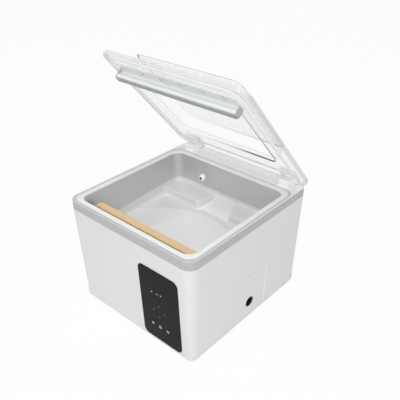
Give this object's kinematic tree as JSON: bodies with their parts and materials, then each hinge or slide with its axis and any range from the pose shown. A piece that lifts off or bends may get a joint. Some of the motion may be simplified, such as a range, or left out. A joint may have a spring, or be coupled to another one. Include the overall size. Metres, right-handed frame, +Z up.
{
  "type": "vacuum chamber sealer",
  "caption": "Table-top vacuum chamber sealer with a tapered body, deep chamber with seal bar, and a hinged lid with raised clear window and counter bar.",
  "frame": {"origin": "under the middle of the body, on the plane its feet stand on", "axes": "+X to the right of someone facing the control panel, +Y to the rear, +Z up"},
  "size_m": [0.4, 0.4123, 0.5949],
  "materials": {
    "body_white": "satin",
    "rim_grey": "satin",
    "chamber_grey": "satin",
    "lip_white": "satin",
    "fitting_white": "satin",
    "rubber": "matt",
    "silicone_grey": "matt",
    "steel": "satin",
    "screw_steel": "satin",
    "brass": "satin",
    "aluminium": "satin",
    "counter_bar": "anodised",
    "ptfe_tan": "coated",
    "lid_white": "satin",
    "lid_clear": "polished",
    "clear": "polished",
    "gasket_white": "satin",
    "end_cap_grey": "satin",
    "panel_black": "gloss",
    "lens_grey": "gloss",
    "board_green": "satin",
    "black_plastic": "satin",
    "cast_grey": "satin",
    "sight_glass": "polished",
    "core_steel": "satin",
    "coil_copper": "satin",
    "hose_black": "matt"
  },
  "bodies": {
    "body": {"base_plate": "steel", "base_screws": "screw_steel", "board_spacers": "black_plastic", "body_shell": "body_white", "chamber_lip": "lip_white", "chamber_tub": "chamber_grey", "control_board": "board_green", "control_panel": "panel_black", "exhaust_filter": "cast_grey", "fan_cowl": "black_plastic", "hatch_ledge_frame": "body_white", "hinge_block_left": "fitting_white", "hinge_block_right": "fitting_white", "hinge_pins": "screw_steel", "indicator_lenses": "lens_grey", "inlet_pins": "brass", "lift_cylinders": "aluminium", "mains_inlet": "black_plastic", "oil_case": "cast_grey", "oil_sight_glass": "sight_glass", "pump_hose": "hose_black", "pump_motor": "cast_grey", "pump_mounts": "rubber", "rear_panel": "steel", "rear_panel_screws": "screw_steel", "rubber_feet": "rubber", "suction_hose": "hose_black", "suction_nozzle": "fitting_white", "switch_housing": "black_plastic", "top_frame": "rim_grey", "transformer_coil": "coil_copper", "transformer_core": "core_steel", "vacuum_pump": "cast_grey", "valve_block": "aluminium", "valve_coil": "black_plastic"},
    "seal_bar": {"seal_bar": "aluminium", "heating_band": "screw_steel", "seal_bar_cover": "ptfe_tan", "piston_rods": "screw_steel"},
    "lid": {"lid_frame": "lid_clear", "lid_window": "clear", "lid_gasket": "gasket_white", "counter_bar": "counter_bar", "counter_bar_end_caps": "end_cap_grey", "counter_bar_strip": "silicone_grey", "counter_bar_screws": "screw_steel", "hinge_clevis_left": "lid_white", "hinge_clevis_right": "lid_white"},
    "key_left": {"key_left": "panel_black"},
    "key_middle": {"key_middle": "panel_black"},
    "key_right": {"key_right": "panel_black"},
    "hatch": {"service_hatch": "body_white", "hatch_grommet": "rubber"},
    "rocker": {"power_rocker": "black_plastic"},
    "fan": {"motor_fan": "black_plastic"}
  },
  "joints": [
    {"name": "lid_hinge", "type": "hinge", "parent": "body", "child": "lid", "pos_m": [0, 0.1925, 0.2905], "axis": [1, 0, 0], "range_deg": [0, 49.2], "stiffness_Nm_per_rad": 4.2, "springref_deg": -60},
    {"name": "seal_bar_lift", "type": "slide", "parent": "body", "child": "seal_bar", "axis": [0, 0, 1], "range_m": [0, 0.005]},
    {"name": "key_left_press", "type": "slide", "parent": "body", "child": "key_left", "axis": [0, 0.9992, 0.0408], "range_m": [0, 0.0005], "stiffness_N_per_m": 500, "springref_m": -0.0006},
    {"name": "key_middle_press", "type": "slide", "parent": "body", "child": "key_middle", "axis": [0, 0.9992, 0.0408], "range_m": [0, 0.0005], "stiffness_N_per_m": 500, "springref_m": -0.0006},
    {"name": "key_right_press", "type": "slide", "parent": "body", "child": "key_right", "axis": [0, 0.9992, 0.0408], "range_m": [0, 0.0005], "stiffness_N_per_m": 500, "springref_m": -0.0006},
    {"name": "hatch_pull", "type": "slide", "parent": "body", "child": "hatch", "axis": [0.9992, 0, -0.0408], "range_m": [0, 0.03]},
    {"name": "rocker_tilt", "type": "hinge", "parent": "body", "child": "rocker", "pos_m": [0.075, 0.19989, 0.11291], "axis": [1, 0, 0], "range_deg": [0, 18]},
    {"name": "fan_spin", "type": "hinge", "parent": "body", "child": "fan", "pos_m": [-0.08, 0.004, 0.078], "axis": [1, 0, 0], "continuous": true}
  ]
}
